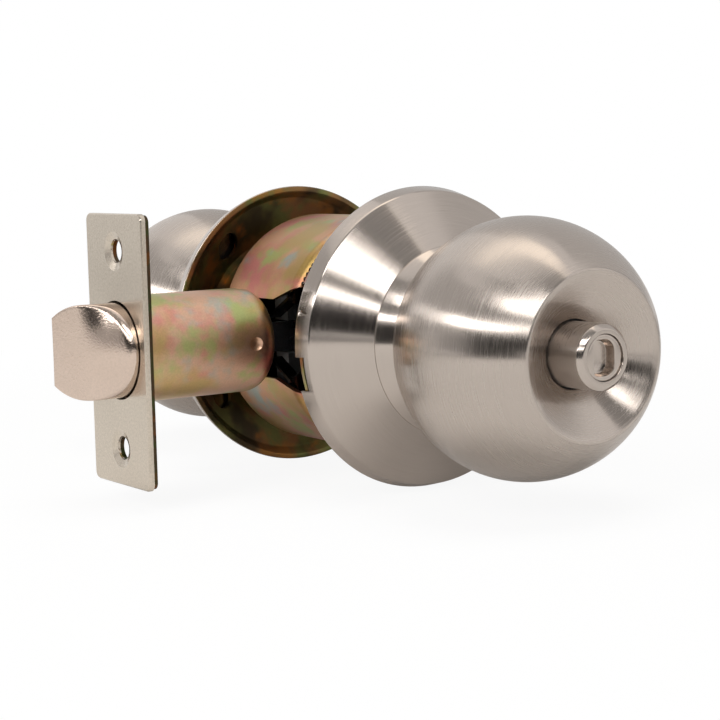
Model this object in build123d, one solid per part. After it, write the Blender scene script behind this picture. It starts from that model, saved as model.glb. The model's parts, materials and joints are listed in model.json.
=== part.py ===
from build123d import *
from math import cos, radians, sin, sqrt
import os

os.makedirs("parts", exist_ok=True)

# Cylindrical knob lock for an entrance door.
# Origin: where the knob axis (Y) crosses the latch axis (X).
# The inside knob points to -Y, the outside knob to +Y, the door edge lies to -X, Z is up.
# A distance "along" the knob axis is counted from the latch axis on either side.
inside = -1
outside = 1

# Fit in the door
backset = 60.0  # knob axis to the front of the faceplate
inside_face = 25.7  # latch axis to the inside face of the door
outside_face = 23.6  # latch axis to the outside face of the door

# Clearances
running = 0.1  # radial, shaft in its bearing
seated = 0.05  # between pieces fixed to each other
free = 0.4  # between pieces that move past each other

# Working lengths of cutters and joined volumes
past = 1.0  # a cutter runs this far past a face
overlap = 0.5  # joined volumes run into each other

# Faceplate and its backing
plate_height = 57.0
plate_width = 25.0
plate_thick = 1.1
plate_corner = 1.6
plate_edge = 0.25  # broken front edge
backing_thick = 0.9
backing_inset = 0.3
screw_spacing = 41.4
screw_hole = 5.0
screw_sink = 8.2
screw_sink_depth = 0.6

# Latch case
tube_r = 11.3
tube_wall = 1.0
tube_corner = 4.5
tube_seat = 0.4  # from the closed end of the tube to the drum
end_slot_width = 3.4  # splits the closed end in two flaps
end_slot_length = 5.0
stake_r = 1.6  # dimple that holds the end guide
stake_depth = 0.5
guide_thick = 2.6
guide_setback = 5.2  # end of the tube to the rear of the guide
guide_nose_height = 13.0
guide_nose_width = 6.0

# Latch bolt and its tail
throw = 11.5
bolt_tip_side = 7.0  # tip edge, off the latch axis
bolt_clearance = 0.3  # radial, in the tube
bolt_flat_side = 3.4  # end of the flat bevel, off the latch axis on the other side
bolt_flat_length = 5.75  # flat bevel, along the latch axis
bolt_round_past = 0.2  # the rounding runs out this far past the flank
bolt_bevel_foot = 0.6  # bevel ends this far out of the faceplate
bolt_tip_round = 0.7
bolt_length = 24.6
tail_thick = 1.6
tail_width = 6.4
tail_socket = 6.0
tail_head_width = 13.0
tail_head = 2.4
latch_wire = 0.8
latch_coil_r = 6.4
latch_turns = 6

# Chassis drum
drum_r = 26.0
drum_wall = 1.2
drum_corner = 2.5
drum_inside = 12.5  # closed end, along the axis
drum_outside = 14.8  # open end, along the axis
window_height = 17.4
window_flare = 23.4
window_straight = 4.8  # the window is parallel up to here, then it flares
window_far = 6.5
window_depth = 5.2

# Spindles and hubs
spindle_share = 0.396  # spindle radius, as a share of the drum's
spindle_wall = 1.5
cam_start = 3.0  # the half-round cams stop this far from the latch axis
cam_end = 8.4
knob_turn = 60.0  # degrees each way
collar_step = 1.9  # collar over the spindle
collar_thick = 1.0
collar_gap = 0.3  # to the cage
spindle_cap = 1.2
hub_thread_wall = 4.7  # hub over the spindle
inside_hub_wall = 2.8
inside_hub_end = 30.0
hub_flange = 1.5

# Retractor and its cage
retractor_half = 8.0  # half width along the knob axis
jaw_half = 2.6
jaw_setback = 5.3  # jaws behind the drum wall
jaw_thick = 3.5
rail_clear = 1.3  # rails over the spindle
rail_gap = 0.7  # rails inside the drum wall
rail_end = 6.0
shoe_stop = 0.5  # shoe to the web when the latch is drawn
shoe_tail_half = 8.0
cage_thick = 1.2
cage_gap = 0.5  # cheeks inside the drum wall
cage_pillar_gap = 0.7
cage_web_half = 7.0
cage_web_in = 2.6  # web, inside the drum wall
cage_mouth = 19.0
cage_throat = 13.0
cage_throat_depth = 7.5
horn_thick = 0.8  # bent strips that lead the latch tail into the cage
horn_width = 3.0
horn_setback = 1.4  # their front edge, behind the drum wall
horn_root = (9.0, 8.6)  # (along, height) where they join the cheek
horn_tip = (1.2, 4.3)
return_wire = 0.7
return_coil_r = 2.6
return_spacing = 6.8
return_offset = 2.5
return_pocket = 5.6
return_turns = 8

# Pillars and mounting screws
pillar_r = 3.4
pillar_setback = 1.9  # pillars inside the drum wall
screw_r = 2.4
screw_head_r = 4.4
screw_head = 2.8
screw_length = 16.0
screw_slot = 1.2
screw_slot_depth = 1.3

# Lock ring and inside mounting plate
ring_inset = 0.8  # ring and cup inside the drum's outline
cup_inset = 0.4
cup_wall = 1.2
flange_gap = 0.4  # flange inside the rim of the rose
flange_thick = 1.0

# Roses
rose_r = 32.5
rose_lean = 1.0  # the rim leans in by this
rose_rim = 3.85
rose_rise = 7.3  # from the rim to the raised ring
rose_step = 0.3  # height of the ring's edge
rose_ring = 3.7  # width of the ring, from the neck of the knob
rose_wall = 0.8
rose_edge = 0.7
notch_width = 7.2
notch_depth = 2.4
notch_angle = 9.5  # below the latch
notch_reach = 1.8  # the notch is cut to this far inside the flange
liner_wall = 1.0
liner_gap = 0.15
liner_nut_wall = 3.0
liner_nut = 6.0
liner_hole_r = 3.2
liner_hole_inset = 6.9  # from the front edge of the rose
liner_hole_turn = -5.0
liner_hole_count = 4

# Knobs
knob_r = 26.6
knob_wall = 1.2
neck_r = 16.5
neck_gap = 0.3
neck_entry = 1.0
inside_knob_stand = 1.03  # ball to the rose, along the axis at the neck
outside_knob_stand = 8.53
dish_r = 16.3
dish_depth = 6.0
dish_edge = 0.8
bore_collar = 3.4
insert_step = 2.5  # from the neck to the body of the insert
insert_flange = 2.0
catch_width = 4.0
catch_length = 5.0
catch_inset = 0.1  # lug, inside the insert's wall
leaf_length = 16.0
leaf_thick = 0.6
release_hole_r = 1.7

# Push button with its turn piece
button_r = 6.5
button_end = 84.6
button_travel = 4.0
button_flange = 1.5
button_flange_r = 7.3
bush_setback = 2.0
bush_length = 8.0
bush_wall = 1.05
button_edge = 0.9
turn_r = 4.5
turn_depth = 5.0
turn_setback = 0.3
recess_height = 6.9
recess_width = 5.0
recess_depth = 2.8
recess_corner = 1.0  # on its straight side
recess_round = 2.4  # on its round side
stem_r = 2.3
blade_width = 6.0
blade_thick = 1.6
blade_length = 14.0
stem_end = 6.4
button_wire = 0.7
button_turns = 6

# Key cylinder
barrel_r = 9.6
barrel_heel = 0.8  # barrel behind the pin tower
barrel_proud = 2.2
plug_r = 6.3
plug_proud = 0.4
plug_rear = 1.4
keyway_width = 1.9
keyway_base = 4.8
keyway_tiers = [(3.0, 0.0), (2.4, 0.55), (3.2, -0.1)]  # height and side step of each tier
tower_width = 8.6
tower_top = 17.4
pin_r = 1.4
pin_pitch = 3.7
pin_count = 5
pin_lift = [0.6, -0.8, 1.0, -0.2, -1.1]  # lower ends of the key pins, as a key lifts them
shear_gap = 0.2
driver_length = 4.2
pin_cap = 1.2
pin_wire = 0.4
pin_turns = 5
clip_r = 8.0
clip_thick = 0.8
clip_mouth = 8.8
bar_width = 6.0
bar_thick = 1.6
bar_end = 4.4

# Places worked out from the sizes above
plate_back = -backset + plate_thick
tube_start = plate_back + backing_thick
tube_end = -drum_r - tube_seat
tube_bore = tube_r - tube_wall
bolt_r = tube_bore - bolt_clearance
bolt_tip = -backset - throw
bolt_rear = bolt_tip + bolt_length
guide_rear = tube_end - guide_setback
guide_front = guide_rear - guide_thick
drum_bore = drum_r - drum_wall
drum_inside_wall = drum_inside - drum_wall
spindle_r = drum_r * spindle_share
spindle_bore = spindle_r - spindle_wall
collar_r = spindle_r + collar_step
hub_thread_r = spindle_r + hub_thread_wall
liner_nut_r = hub_thread_r + liner_nut_wall
inside_hub_r = spindle_r + inside_hub_wall
insert_r = neck_r - insert_step
cage_inner = retractor_half + free
cage_outer = cage_inner + cage_thick
collar_start = cage_outer + collar_gap
cage_web = drum_bore - cage_web_in
cage_r = drum_bore - cage_gap
pillar_place = drum_bore - pillar_r - pillar_setback
cage_half_height = pillar_place - pillar_r - cage_pillar_gap
horn_front = drum_bore - horn_setback
jaw_front = drum_bore - jaw_setback
rail_inner = spindle_r + rail_clear
rail_outer = sqrt((drum_bore - rail_gap) ** 2 - jaw_front**2)
jaw_back = -jaw_front + jaw_thick
tail_end = jaw_back + free + tail_head
shoe_face = free
shoe_back = cage_web - throw - shoe_stop
ring_front = drum_inside + hub_flange
ring_r = drum_r - ring_inset
cup_r = drum_r - cup_inset
rose_front_r = rose_r - rose_lean
liner_hole_place = rose_front_r - liner_hole_inset
flange_r = rose_r - rose_wall - flange_gap
notch_floor = flange_r - notch_reach
cup_front = ring_front + cup_wall
neck_hole = neck_r + neck_gap
rose_step_r = neck_r + rose_ring
rose_slope = rose_rise / (rose_front_r - rose_step_r)
rose_top = rose_rim + rose_rise + rose_step + rose_slope * (rose_step_r - neck_hole)
neck_along = sqrt(knob_r**2 - neck_hole**2)  # back of the ball at the neck, from the centre of the knob
inside_knob_centre = inside_face + rose_top + inside_knob_stand + neck_along
outside_knob_centre = outside_face + rose_top + outside_knob_stand + neck_along
dish_bottom_r = button_r + running + bush_wall + seated
dish_slope = dish_depth / (dish_r - dish_bottom_r)
hub_flange_r = pillar_place - screw_r - 2 * free
inside_neck = inside_face + rose_top - neck_entry
outside_neck = outside_face + rose_top - neck_entry
outside_hub_end = outside_neck - free
dish_edge_along = sqrt(knob_r**2 - dish_r**2)  # dish edge, from the centre of the knob
dish_floor = inside_knob_centre + dish_edge_along - dish_depth
bush_top = dish_floor - bush_setback
bush_bottom = bush_top - bush_length
button_bottom = bush_bottom - free - button_flange
inside_spindle_end = button_bottom - button_travel - button_wire * (button_turns + 2)
stem_swing = sqrt(blade_width**2 + blade_thick**2) / 2
barrel_bore = barrel_r + running
barrel_floor = outside_knob_centre + dish_edge_along - dish_slope * (dish_r - barrel_bore)
barrel_face = barrel_floor + barrel_proud
tower_half = tower_width / 2
pin_hole = pin_r + running
tower_end = barrel_floor - bore_collar - free
pin_places = [tower_end - pin_cap - pin_hole - pin_pitch * step for step in range(pin_count)]
tower_start = pin_places[-1] - pin_hole - pin_cap
barrel_start = tower_start - barrel_heel
outside_spindle_end = barrel_start - plug_rear - free


def save(name, shape):
    export_step(shape, f"parts/{name}.step")


def turned(side, *outline):
    # solid of revolution about the knob axis, from (radius, along) points
    points = [(r, side * along) for r, along in outline]
    return revolve(make_face(Polyline(*points, close=True)), Axis.Y)


def sleeve(side, outer, inner, start, end):
    return turned(side, (inner, start), (outer, start), (outer, end), (inner, end))


def cross_rod(radius, start, end, x=0.0, z=0.0):
    # round bar parallel to the knob axis, between two y values
    return Pos(x, (start + end) / 2, z) * Rot(90, 0, 0) * Cylinder(radius, abs(end - start))


def latch_rod(radius, start, end, y=0.0, z=0.0):
    # round bar parallel to the latch axis, between two x values
    return Pos((start + end) / 2, y, z) * Rot(0, 90, 0) * Cylinder(radius, end - start)


def block(low, high):
    size = [b - a for a, b in zip(low, high)]
    middle = [(a + b) / 2 for a, b in zip(low, high)]
    return Pos(*middle) * Box(*size)


def coil(mean_r, wire, length, turns):
    # compression spring that stands on the XY plane along +Z
    rise = length - wire
    path = Helix(rise / turns, rise, mean_r)
    start = Plane(path @ 0, z_dir=path % 0)
    return Pos(0, 0, wire / 2) * sweep(start * Circle(wire / 2), path)


# Faceplate: a flat pressing with a round bolt hole and two countersunk screw holes
def plate(front, thick, inset, hole_r):
    body = block(
        (front, -plate_width / 2 + inset, -plate_height / 2 + inset),
        (front + thick, plate_width / 2 - inset, plate_height / 2 - inset),
    )
    body = fillet(body.edges().filter_by(Axis.X), plate_corner)
    return body - latch_rod(hole_r, front - past, front + thick + past)


def screw_holes(body, front, thick):
    for place in (-screw_spacing / 2, screw_spacing / 2):
        body -= latch_rod(screw_hole / 2, front - past, front + thick + past, z=place)
    return body


faceplate = plate(-backset, plate_thick, 0, bolt_r + free)
faceplate = screw_holes(faceplate, -backset, plate_thick)
for place in (-screw_spacing / 2, screw_spacing / 2):
    sink = Cone(screw_sink / 2, screw_hole / 2, screw_sink_depth)
    faceplate -= Pos(-backset + screw_sink_depth / 2, 0, place) * Rot(0, 90, 0) * sink
outer_wire = faceplate.faces().sort_by(Axis.X)[0].outer_wire()
faceplate = chamfer(outer_wire.edges(), plate_edge)
save("faceplate", faceplate)

backing = plate(plate_back, backing_thick, backing_inset, bolt_r + free)
save("faceplate_backing", screw_holes(backing, plate_back, backing_thick))

# Latch tube: a drawn cup with a rounded closed end, slotted for the tail
tube = latch_rod(tube_r, tube_start, tube_end)
tube = fillet(tube.faces().sort_by(Axis.X)[-1].edges(), tube_corner)
hollow = latch_rod(tube_bore, tube_start - past, tube_end - tube_wall)
hollow = fillet(hollow.faces().sort_by(Axis.X)[-1].edges(), tube_corner - tube_wall)
tube -= hollow
nose_y = guide_nose_width / 2
nose_z = guide_nose_height / 2
tube -= block(
    (tube_end - tube_wall - past, -nose_y - seated, -nose_z - seated),
    (tube_end + past, nose_y + seated, nose_z + seated),
)
tube -= block(
    (tube_end - end_slot_length, -end_slot_width / 2, -tube_r - past),
    (tube_end + past, end_slot_width / 2, tube_r + past),
)
stake_ball = (stake_r**2 + stake_depth**2) / (2 * stake_depth)
stake_x = (guide_front + guide_rear) / 2
tube -= Pos(stake_x, -tube_r - stake_ball + stake_depth, 0) * Sphere(stake_ball)
save("latch_tube", tube)

# End guide: a disc staked in the tube, with a nose that enters the drum's window
guide = latch_rod(tube_bore - seated, guide_front, guide_rear)
guide += block((guide_rear - overlap, -nose_y, -nose_z), (-drum_bore, nose_y, nose_z))
guide -= block(
    (guide_front - past, -tail_thick / 2 - free, -tail_width / 2 - free),
    (-drum_bore + past, tail_thick / 2 + free, tail_width / 2 + free),
)
save("latch_guide", guide)

# Latch bolt: a round bar with a flat bevel that rounds over into its inside flank
flank = -bolt_r - bolt_round_past
foot = -backset - bolt_bevel_foot
flat_start = (bolt_tip, bolt_tip_side)
flat_end = (bolt_tip + bolt_flat_length, -bolt_flat_side)
back_corner = bolt_r + past
with BuildSketch() as bolt_plan:
    with BuildLine():
        Line(flat_start, flat_end)
        TangentArc(flat_end, (foot, flank), tangent=Vector(*flat_end) - Vector(*flat_start))
        Polyline(
            (foot, flank),
            (foot, -back_corner),
            (bolt_rear, -back_corner),
            (bolt_rear, back_corner),
            (bolt_tip, back_corner),
            flat_start,
        )
    make_face()
    tip_vertex = bolt_plan.vertices().sort_by_distance(Vector(*flat_start))[0]
    fillet(tip_vertex, bolt_tip_round)
bolt = extrude(bolt_plan.sketch, bolt_r + past, both=True) & latch_rod(bolt_r, bolt_tip - past, bolt_rear)
bolt -= block(
    (bolt_rear - tail_socket, -tail_thick / 2 - seated, -tail_width / 2 - seated),
    (bolt_rear + past, tail_thick / 2 + seated, tail_width / 2 + seated),
)
save("latch_bolt", bolt)

tail = block(
    (bolt_rear - tail_socket + seated, -tail_thick / 2, -tail_width / 2),
    (tail_end, tail_thick / 2, tail_width / 2),
)
tail += block(
    (tail_end - tail_head, -tail_thick / 2, -tail_head_width / 2),
    (tail_end, tail_thick / 2, tail_head_width / 2),
)
save("latch_tail", tail)

latch_spring = coil(latch_coil_r, latch_wire, guide_front - bolt_rear - 2 * seated, latch_turns)
save("latch_spring", Pos(bolt_rear + seated, 0, 0) * Rot(0, 90, 0) * latch_spring)

# Chassis drum: a drawn cup, closed towards the inside, with a flared window for the latch
drum = cross_rod(drum_r, -drum_inside, drum_outside)
drum = fillet(drum.faces().sort_by(Axis.Y)[0].edges(), drum_corner)
drum_hollow = cross_rod(drum_bore, -drum_inside_wall, drum_outside + past)
drum_hollow = fillet(drum_hollow.faces().sort_by(Axis.Y)[0].edges(), drum_corner - drum_wall)
drum -= drum_hollow
drum -= cross_rod(spindle_r + free, -drum_inside - past, 0)


def latch_window(end):
    # prism through the latch side, parallel near the latch and flared towards the inside
    half = window_height / 2
    slope = (window_flare / 2 - half) / (drum_inside - window_straight)
    wide = half + slope * (end - window_straight)
    outline = [
        (window_far, half),
        (-window_straight, half),
        (-end, wide),
        (-end, -wide),
        (-window_straight, -half),
        (window_far, -half),
    ]
    face = make_face(Plane.YZ * Polyline(*outline, close=True))
    return Pos(-drum_r + window_depth, 0, 0) * extrude(face, -2 * drum_r, dir=(1, 0, 0))


pillar_places = (-pillar_place, pillar_place)
drum -= latch_window(drum_inside + past)
for place in pillar_places:
    drum -= cross_rod(screw_r + free, -drum_inside - past, 0, z=place)
save("chassis_drum", drum)

# Outside hub: end plate of the drum with the long threaded neck that carries the rose
hub = sleeve(outside, drum_bore - seated, spindle_r + running, drum_inside_wall, drum_outside)
hub += sleeve(outside, hub_thread_r, spindle_r + running, drum_outside - overlap, outside_hub_end)
save("outside_hub", hub)

inside_hub = sleeve(inside, hub_flange_r, spindle_r + running, drum_inside, ring_front)
inside_hub += sleeve(inside, inside_hub_r, spindle_r + running, ring_front - overlap, inside_hub_end)
save("inside_hub", inside_hub)


# Retractor cage: two cheeks and a web, folded from one strip
def cheek(start, end):
    body = cross_rod(cage_r, start, end) & block(
        (-drum_r, start, -cage_half_height), (cage_web + cage_thick, end, cage_half_height)
    )
    body -= cross_rod(spindle_r + free, start - past, end + past)
    mouth = make_face(
        Plane.XZ
        * Polyline(
            (-drum_r, -cage_mouth / 2),
            (-drum_r + cage_throat_depth, -cage_throat / 2),
            (-drum_r + cage_throat_depth, cage_throat / 2),
            (-drum_r, cage_mouth / 2),
            close=True,
        )
    )
    return body - extrude(mouth, 2 * drum_r, both=True)


cage = cheek(-cage_outer, -cage_inner) + cheek(cage_inner, cage_outer)
cage += block(
    (cage_web, -cage_outer, -cage_web_half),
    (cage_web + cage_thick, cage_outer, cage_web_half),
)
for way in (-1, 1):
    horn = [
        (-horn_root[0], way * horn_root[1]),
        (-horn_tip[0], way * horn_tip[1]),
        (-horn_tip[0], way * (horn_tip[1] + horn_thick)),
        (-horn_root[0], way * (horn_root[1] + horn_thick)),
    ]
    horn_face = make_face(Plane.YZ * Polyline(*horn, close=True))
    cage += Pos(-horn_front, 0, 0) * extrude(horn_face, horn_width, dir=(1, 0, 0))
save("retractor_cage", cage)

# Retractor: a slide with a shoe for the cams, two rails and a pair of jaws for the tail
retractor = block((shoe_face, -retractor_half, -rail_inner), (rail_end, retractor_half, rail_inner))
shoe_outline = [
    (rail_end - overlap, rail_inner),
    (rail_end, rail_inner),
    (shoe_back, shoe_tail_half),
    (shoe_back, -shoe_tail_half),
    (rail_end, -rail_inner),
    (rail_end - overlap, -rail_inner),
]
shoe_face_2d = make_face(Plane.XZ * Polyline(*shoe_outline, close=True))
retractor += extrude(shoe_face_2d, retractor_half, both=True)
for way in (-1, 1):
    low, high = sorted((way * rail_inner, way * rail_outer))
    retractor += block((-jaw_front, -retractor_half, low), (rail_end, retractor_half, high))
    low, high = sorted((way * (tail_width / 2 + free), way * rail_outer))
    retractor += block((-jaw_front, -jaw_half, low), (jaw_back, jaw_half, high))
# the outside cam turns in a pocket of its own
cam_swing = (spindle_r + free) * sin(radians(knob_turn)) + free
retractor -= block(
    (shoe_face - past, jaw_half, -spindle_r - free),
    (cam_swing, retractor_half + past, spindle_r + free),
)
# a channel lets the locking stem and the tailpiece reach the middle
retractor -= block(
    (shoe_face - past, -retractor_half - past, -stem_swing - free),
    (stem_swing + free, retractor_half + past, stem_swing + free),
)
for way in (-1, 1):
    retractor -= latch_rod(
        return_coil_r + return_wire,
        shoe_back - return_pocket,
        shoe_back + past,
        y=-return_offset,
        z=way * return_spacing / 2,
    )
save("retractor", retractor)

return_length = cage_web - shoe_back + return_pocket - 2 * seated
return_spring = Rot(0, 90, 0) * coil(return_coil_r, return_wire, return_length, return_turns)
return_start = shoe_back - return_pocket + seated
return_springs = [
    Pos(return_start, -return_offset, way * return_spacing / 2) * return_spring for way in (-1, 1)
]
save("retractor_springs", Compound(children=return_springs))

# Pillars tie the two ends of the drum together and take the mounting screws
pillars = []
screws = []
for place in pillar_places:
    pillar = cross_rod(pillar_r, -drum_inside_wall, drum_inside_wall, z=place)
    pillar -= cross_rod(screw_r + seated, -drum_inside_wall - past, drum_inside_wall, z=place)
    pillars.append(pillar)
    head_end = -cup_front - screw_head
    screw = cross_rod(screw_r, -cup_front - overlap, -cup_front + screw_length, z=place)
    screw += cross_rod(screw_head_r, head_end, -cup_front, z=place)
    screw -= block(
        (-screw_head_r, head_end - past, place - screw_slot / 2),
        (screw_head_r, head_end + screw_slot_depth, place + screw_slot / 2),
    )
    screws.append(screw)
save("pillars", Compound(children=pillars))
save("mounting_screws", Compound(children=screws))

# Lock ring between the drum and the mounting plate
lock_ring = sleeve(inside, ring_r, hub_flange_r + seated, drum_inside, ring_front)
lock_ring -= latch_window(ring_front + past)

# Inside mounting plate: a deep cup that centres in the door bore, with a flange on the door face
mount_plate = turned(
    inside,
    (inside_hub_r + seated, ring_front),
    (cup_r, ring_front),
    (cup_r, inside_face),
    (flange_r, inside_face),
    (flange_r, inside_face + flange_thick),
    (cup_r - cup_wall, inside_face + flange_thick),
    (cup_r - cup_wall, cup_front),
    (inside_hub_r + seated, cup_front),
)
mount_plate -= latch_window(inside_face - flange_thick)
for place in pillar_places:
    lock_ring -= cross_rod(screw_r + free, -ring_front - past, -drum_inside + past, z=place)
    mount_plate -= cross_rod(screw_r + free, -cup_front - past, -ring_front + past, z=place)
save("lock_ring", lock_ring)
save("inside_mounting_plate", mount_plate)


# Roses: spun covers with a short rim and a conical face
def rose(side, face):
    rim_top = face + rose_rim
    step_foot = rim_top + rose_rise
    top = face + rose_top
    wall_along = rose_wall * sqrt(1 + rose_slope**2)
    shell = turned(
        side,
        (rose_r - rose_wall, face),
        (rose_r, face),
        (rose_front_r, rim_top),
        (rose_step_r, step_foot),
        (rose_step_r, step_foot + rose_step),
        (neck_hole, top),
        (neck_hole, top - wall_along),
        (rose_front_r - rose_wall, rim_top - wall_along + rose_wall * rose_slope),
    )
    circles = shell.edges().filter_by(GeomType.CIRCLE)
    rim_edge = circles.sort_by_distance((rose_front_r, side * rim_top, 0))[0]
    return fillet(rim_edge, rose_edge)


inside_rose = rose(inside, inside_face)
notch = block(
    (-rose_r - past, -inside_face - notch_depth, -notch_width / 2),
    (-notch_floor, -inside_face + past, notch_width / 2),
)
inside_rose -= Rot(0, -notch_angle, 0) * notch
save("inside_rose", inside_rose)
save("outside_rose", rose(outside, outside_face))


# Outside rose liner: a dished plate under the rose, with a nut on the hub thread
def rose_liner(side, face):
    lean = sqrt(1 + rose_slope**2)
    skin = rose_wall * lean + liner_gap
    rim_top = face + rose_rim - skin
    rim_r = rose_front_r - rose_wall - liner_gap
    nut_top = face + rose_rim + rose_rise - neck_entry - free
    flat_r = rim_r - (nut_top - rim_top) / rose_slope
    wall_along = liner_wall * lean
    under_r = flat_r + (liner_wall - wall_along) / rose_slope
    body = turned(
        side,
        (rim_r - liner_wall, face),
        (rim_r, face),
        (rim_r, rim_top),
        (flat_r, nut_top),
        (hub_thread_r + seated, nut_top),
        (hub_thread_r + seated, nut_top - liner_nut),
        (liner_nut_r, nut_top - liner_nut),
        (liner_nut_r, nut_top - liner_wall),
        (under_r, nut_top - liner_wall),
        (rim_r - liner_wall, rim_top - wall_along + rose_slope * liner_wall),
    )
    for step in range(liner_hole_count):
        angle = radians(liner_hole_turn + 360 / liner_hole_count * (step + 0.5))
        x = liner_hole_place * cos(angle)
        z = liner_hole_place * sin(angle)
        body -= cross_rod(liner_hole_r, side * face, side * (nut_top + past), x=x, z=z)
    return body


save("outside_rose_liner", rose_liner(outside, outside_face))


# Knobs: spun shells with a short neck, a round body and a dished end
def knob(side, centre, face, bore_r):
    start = face + rose_top - neck_entry
    edge = centre + dish_edge_along
    floor = edge - dish_slope * (dish_r - bore_r)
    wall_along = knob_wall * sqrt(1 + dish_slope**2)
    inner_r = knob_r - knob_wall
    inner_neck = neck_r - knob_wall
    join = (neck_r, centre - sqrt(knob_r**2 - neck_r**2))
    inner_join = (inner_neck, centre - sqrt(inner_r**2 - inner_neck**2))
    # inner dish cone meets the inner ball: solve along = base + slope * r with the circle
    base = edge - dish_slope * dish_r - wall_along - centre
    a = 1 + dish_slope**2
    b = 2 * base * dish_slope
    c = base**2 - inner_r**2
    meet_r = (-b + sqrt(b * b - 4 * a * c)) / (2 * a)
    meet = (meet_r, centre + base + dish_slope * meet_r)
    lip_r = bore_r + knob_wall
    lip = floor - bore_collar
    with BuildSketch() as section:
        with BuildLine():
            Line((neck_r, side * start), (join[0], side * join[1]))
            ThreePointArc(
                (join[0], side * join[1]), (knob_r, side * centre), (dish_r, side * edge)
            )
            outline = [
                (dish_r, edge),
                (bore_r, floor),
                (bore_r, lip),
                (lip_r, lip),
                (lip_r, centre + base + dish_slope * lip_r),
                meet,
            ]
            Polyline(*[(r, side * along) for r, along in outline])
            ThreePointArc(
                (meet[0], side * meet[1]),
                (inner_r, side * centre),
                (inner_join[0], side * inner_join[1]),
            )
            Polyline(
                (inner_join[0], side * inner_join[1]),
                (inner_neck, side * start),
                (neck_r, side * start),
            )
        make_face()
        rim = section.vertices().sort_by_distance(Vector(dish_r, side * edge))[0]
        fillet(rim, dish_edge)
    shell = revolve(section.sketch, Axis.Y)
    catch_along = side * (start + insert_flange + catch_length)
    return shell - Pos(0, catch_along, -neck_r) * Cylinder(release_hole_r, neck_r)


save("inside_knob", knob(inside, inside_knob_centre, inside_face, dish_bottom_r))
save("outside_knob", knob(outside, outside_knob_centre, outside_face, barrel_bore))


# Knob inserts: flanged bushes pressed in the neck, bored for the spindle
def knob_insert(side, neck, end):
    start = neck + free
    body = sleeve(side, neck_r - knob_wall - seated, spindle_r + seated, start, start + insert_flange)
    body += sleeve(side, insert_r, spindle_r + seated, start, end)
    return body - catch_slot(side, neck, seated)


def catch_slot(side, neck, gap):
    along = side * (neck + insert_flange + catch_length)
    half = catch_length / 2 + gap
    return block(
        (-catch_width / 2 - gap, along - half, -insert_r + catch_inset - gap),
        (catch_width / 2 + gap, along + half, -spindle_bore + leaf_thick * 2),
    )


save("inside_knob_insert", knob_insert(inside, inside_neck, inside_spindle_end))
save("outside_knob_insert", knob_insert(outside, outside_neck, outside_spindle_end))


# Knob spindles: tubes with a collar, and a half-round cam that rolls the retractor back
def spindle(side, neck, end, hole_r):
    body = sleeve(side, spindle_r, spindle_bore, cam_start, end)
    body += sleeve(side, spindle_r, hole_r, end - spindle_cap, end)
    body += sleeve(side, collar_r, spindle_bore, collar_start, collar_start + collar_thick)
    cut_low, cut_high = sorted((side * (cam_start - past), side * cam_end))
    body -= block((0, cut_low, -spindle_r - past), (spindle_r + past, cut_high, spindle_r + past))
    return body - catch_slot(side, neck, seated)


bar_hole = sqrt(bar_width**2 + bar_thick**2) / 2 + free
save("inside_spindle", spindle(inside, inside_neck, inside_spindle_end, stem_r + free))
save("outside_spindle", spindle(outside, outside_neck, outside_spindle_end, bar_hole))


# Knob catches: a lug on a leaf spring, through the spindle into the knob insert
def knob_catch(side, neck):
    along = side * (neck + insert_flange + catch_length)
    half = catch_length / 2
    leaf_z = -sqrt(spindle_bore**2 - (catch_width / 2) ** 2) + seated
    lug = block(
        (-catch_width / 2, along - half, -insert_r + catch_inset),
        (catch_width / 2, along + half, leaf_z + leaf_thick),
    )
    low, high = sorted((along - side * half, along - side * leaf_length))
    return lug + block((-catch_width / 2, low, leaf_z), (catch_width / 2, high, leaf_z + leaf_thick))


save("inside_knob_catch", knob_catch(inside, inside_neck))
save("outside_knob_catch", knob_catch(outside, outside_neck))

# Push button: a hollow plunger in a bush behind the dish
save("button_bush", sleeve(inside, dish_bottom_r - seated, button_r + running, bush_bottom, bush_top))

turn_floor = button_end - turn_depth
button = turned(
    inside,
    (stem_r + free, button_bottom),
    (button_flange_r, button_bottom),
    (button_flange_r, button_bottom + button_flange),
    (button_r, button_bottom + button_flange),
    (button_r, button_end),
    (turn_r + running, button_end),
    (turn_r + running, turn_floor),
    (stem_r + free, turn_floor),
)
button_circles = button.edges().filter_by(GeomType.CIRCLE)
button_rim = button_circles.sort_by_distance((button_r, -button_end, 0))[0]
save("push_button", fillet(button_rim, button_edge))

button_spring_length = button_bottom - inside_spindle_end - 2 * seated
button_coil_r = (button_r + stem_r) / 2 + button_wire
button_spring = coil(button_coil_r, button_wire, button_spring_length, button_turns)
save("button_spring", Pos(0, -inside_spindle_end - seated, 0) * Rot(90, 0, 0) * button_spring)

# Turn piece: the slotted disc in the end of the button
turn_top = button_end - turn_setback
turn_piece = sleeve(inside, turn_r, 0, turn_floor + running, turn_top)
recess = block(
    (-recess_width / 2, -turn_top - past, -recess_height / 2),
    (recess_width / 2, -turn_top + recess_depth, recess_height / 2),
)
recess_edges = recess.edges().filter_by(Axis.Y).sort_by(Axis.X)
recess = fillet(recess_edges[:2], recess_corner)
recess_edges = recess.edges().filter_by(Axis.Y).sort_by(Axis.X)
recess = fillet(recess_edges[-2:], recess_round)
save("turn_piece", turn_piece - recess)

stem = sleeve(inside, stem_r, 0, stem_end + blade_length - overlap, turn_floor + running)
stem += block(
    (-blade_width / 2, -stem_end - blade_length, -blade_thick / 2),
    (blade_width / 2, -stem_end, blade_thick / 2),
)
save("locking_stem", stem)

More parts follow.
